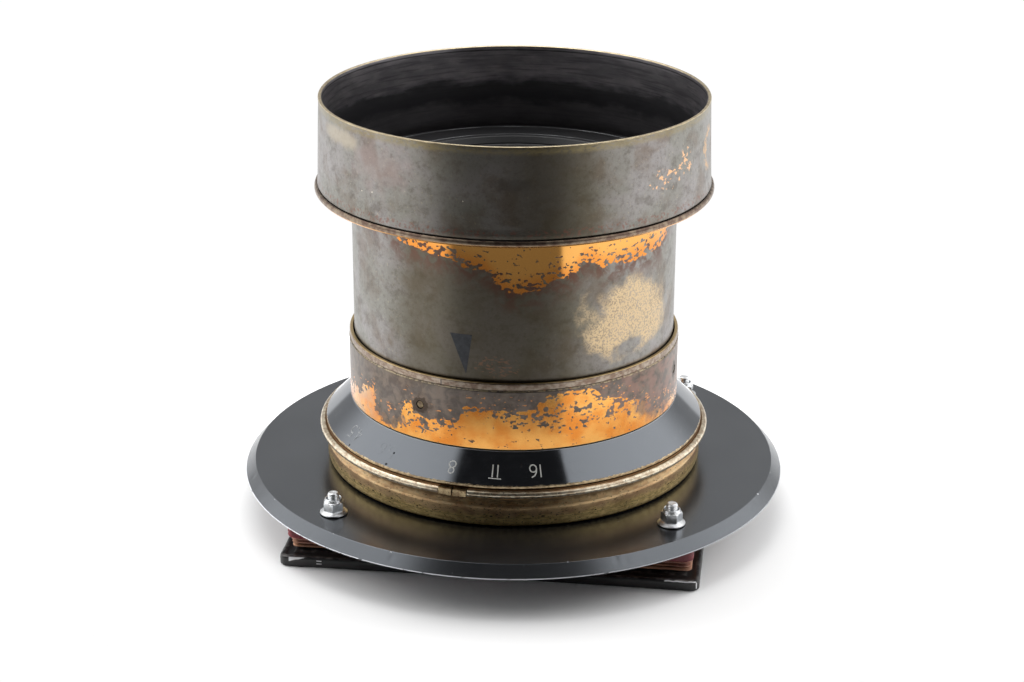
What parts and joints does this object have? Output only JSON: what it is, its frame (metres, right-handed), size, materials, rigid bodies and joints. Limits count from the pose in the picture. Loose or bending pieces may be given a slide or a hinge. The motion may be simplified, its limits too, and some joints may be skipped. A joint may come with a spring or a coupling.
{
  "type": "brass portrait lens",
  "caption": "Large brass portrait lens with hood, turning barrel and iris ring, on a round black lens disc with folded bellows and a black rear frame.",
  "frame": {"origin": "on the optical axis, at the back face of the rear frame, which is the face that the object stands on", "axes": "+Z along the optical axis, out through the hood; -Y towards the side with the index and the 8, 11 and 16 marks; +X to the right seen from there"},
  "size_m": [0.2406, 0.2406, 0.1867],
  "materials": {
    "patinated_brass": "aged lacquered brass with brown patina",
    "lacquered_brass": "gold lacquer, worn and spotted",
    "turned_brass": "old turned brass, dulled",
    "scale_black": "glossy black lacquer on brass",
    "disc_paint": "black paint, satin, chipped at the edge",
    "inside_black": "blackened brass",
    "iris_steel": "blued thin steel",
    "zinc_plate": "bright zinc plate",
    "optical_glass": "polished optical glass",
    "bellows_leather": "tan leather, folded",
    "board_red": "board covered in dark red leather",
    "frame_black": "black, worn at the corners"
  },
  "bodies": {
    "rear_frame_body": {"rear_frame": "frame_black", "bellows": "bellows_leather"},
    "lens_board_body": {"front_board": "board_red", "lens_disc": "disc_paint", "disc_bolt_1": "zinc_plate", "disc_bolt_2": "zinc_plate", "disc_bolt_3": "zinc_plate", "disc_bolt_4": "zinc_plate", "flange_nut_1": "zinc_plate", "flange_nut_2": "zinc_plate", "flange_nut_3": "zinc_plate", "flange_nut_4": "zinc_plate", "rear_clamp_ring": "turned_brass", "mounting_flange": "turned_brass", "index_ring": "turned_brass", "index_block_left": "turned_brass", "index_block_right": "turned_brass", "main_tube": "inside_black", "collar": "lacquered_brass", "collar_screw_1": "turned_brass", "collar_screw_2": "turned_brass", "collar_screw_3": "turned_brass", "iris_base_plate": "iris_steel", "iris_cover_ring": "inside_black", "middle_cell": "inside_black", "middle_lens": "optical_glass", "middle_retaining_ring": "inside_black", "rear_cell": "inside_black", "rear_lens": "optical_glass", "rear_retaining_ring": "inside_black"},
    "aperture_ring_body": {"aperture_ring": "scale_black", "iris_drive_screw": "iris_steel", "iris_slot_ring": "iris_steel"},
    "guide_ring_body": {"guide_ring": "turned_brass"},
    "front_barrel_body": {"barrel": "patinated_brass", "hood": "patinated_brass", "hood_base_ring": "patinated_brass", "front_cell": "inside_black", "front_lens": "optical_glass", "front_retaining_ring": "inside_black"},
    "iris_blade_01_body": {"iris_blade_01": "iris_steel"},
    "iris_blade_02_body": {"iris_blade_02": "iris_steel"},
    "iris_blade_03_body": {"iris_blade_03": "iris_steel"},
    "iris_blade_04_body": {"iris_blade_04": "iris_steel"},
    "iris_blade_05_body": {"iris_blade_05": "iris_steel"},
    "iris_blade_06_body": {"iris_blade_06": "iris_steel"},
    "iris_blade_07_body": {"iris_blade_07": "iris_steel"},
    "iris_blade_08_body": {"iris_blade_08": "iris_steel"},
    "iris_blade_09_body": {"iris_blade_09": "iris_steel"},
    "iris_blade_10_body": {"iris_blade_10": "iris_steel"},
    "iris_blade_11_body": {"iris_blade_11": "iris_steel"},
    "iris_blade_12_body": {"iris_blade_12": "iris_steel"}
  },
  "joints": [
    {"name": "bellows_draw", "type": "slide", "parent": "rear_frame_body", "child": "lens_board_body", "axis": [0, 0, 1], "range_m": [0, 0.08], "deforming": ["bellows"]},
    {"name": "iris_turn", "type": "hinge", "parent": "lens_board_body", "child": "aperture_ring_body", "pos_m": [0, 0, 0.046], "axis": [0, 0, 1], "range_deg": [-34, 42]},
    {"name": "soft_focus_turn", "type": "hinge", "parent": "guide_ring_body", "child": "front_barrel_body", "pos_m": [0, 0, 0.07], "axis": [0, 0, 1], "range_deg": [0, 270]},
    {"name": "soft_focus_travel", "type": "slide", "parent": "lens_board_body", "child": "guide_ring_body", "axis": [0, 0, 1], "range_m": [0, 0.0061]},
    {"name": "iris_blade_01_turn", "type": "hinge", "parent": "lens_board_body", "child": "iris_blade_01_body", "pos_m": [0.055, 0, 0.0421], "axis": [0, 0, 1], "range_deg": [-17, 21]},
    {"name": "iris_blade_02_turn", "type": "hinge", "parent": "lens_board_body", "child": "iris_blade_02_body", "pos_m": [0.04763, 0.0275, 0.0421], "axis": [0, 0, 1], "range_deg": [-17, 21]},
    {"name": "iris_blade_03_turn", "type": "hinge", "parent": "lens_board_body", "child": "iris_blade_03_body", "pos_m": [0.0275, 0.04763, 0.0421], "axis": [0, 0, 1], "range_deg": [-17, 21]},
    {"name": "iris_blade_04_turn", "type": "hinge", "parent": "lens_board_body", "child": "iris_blade_04_body", "pos_m": [0, 0.055, 0.0421], "axis": [0, 0, 1], "range_deg": [-17, 21]},
    {"name": "iris_blade_05_turn", "type": "hinge", "parent": "lens_board_body", "child": "iris_blade_05_body", "pos_m": [-0.0275, 0.04763, 0.0421], "axis": [0, 0, 1], "range_deg": [-17, 21]},
    {"name": "iris_blade_06_turn", "type": "hinge", "parent": "lens_board_body", "child": "iris_blade_06_body", "pos_m": [-0.04763, 0.0275, 0.0421], "axis": [0, 0, 1], "range_deg": [-17, 21]},
    {"name": "iris_blade_07_turn", "type": "hinge", "parent": "lens_board_body", "child": "iris_blade_07_body", "pos_m": [-0.055, 0, 0.0421], "axis": [0, 0, 1], "range_deg": [-17, 21]},
    {"name": "iris_blade_08_turn", "type": "hinge", "parent": "lens_board_body", "child": "iris_blade_08_body", "pos_m": [-0.04763, -0.0275, 0.0421], "axis": [0, 0, 1], "range_deg": [-17, 21]},
    {"name": "iris_blade_09_turn", "type": "hinge", "parent": "lens_board_body", "child": "iris_blade_09_body", "pos_m": [-0.0275, -0.04763, 0.0421], "axis": [0, 0, 1], "range_deg": [-17, 21]},
    {"name": "iris_blade_10_turn", "type": "hinge", "parent": "lens_board_body", "child": "iris_blade_10_body", "pos_m": [0, -0.055, 0.0421], "axis": [0, 0, 1], "range_deg": [-17, 21]},
    {"name": "iris_blade_11_turn", "type": "hinge", "parent": "lens_board_body", "child": "iris_blade_11_body", "pos_m": [0.0275, -0.04763, 0.0421], "axis": [0, 0, 1], "range_deg": [-17, 21]},
    {"name": "iris_blade_12_turn", "type": "hinge", "parent": "lens_board_body", "child": "iris_blade_12_body", "pos_m": [0.04763, -0.0275, 0.0421], "axis": [0, 0, 1], "range_deg": [-17, 21]}
  ],
  "couplings": [
    {"joint": "soft_focus_travel", "follows": "soft_focus_turn", "m_per_rad": 0.0012732},
    {"joint": "iris_blade_01_turn", "follows": "iris_turn", "ratio": 0.481},
    {"joint": "iris_blade_02_turn", "follows": "iris_turn", "ratio": 0.481},
    {"joint": "iris_blade_03_turn", "follows": "iris_turn", "ratio": 0.481},
    {"joint": "iris_blade_04_turn", "follows": "iris_turn", "ratio": 0.481},
    {"joint": "iris_blade_05_turn", "follows": "iris_turn", "ratio": 0.481},
    {"joint": "iris_blade_06_turn", "follows": "iris_turn", "ratio": 0.481},
    {"joint": "iris_blade_07_turn", "follows": "iris_turn", "ratio": 0.481},
    {"joint": "iris_blade_08_turn", "follows": "iris_turn", "ratio": 0.481},
    {"joint": "iris_blade_09_turn", "follows": "iris_turn", "ratio": 0.481},
    {"joint": "iris_blade_10_turn", "follows": "iris_turn", "ratio": 0.481},
    {"joint": "iris_blade_11_turn", "follows": "iris_turn", "ratio": 0.481},
    {"joint": "iris_blade_12_turn", "follows": "iris_turn", "ratio": 0.481}
  ]
}
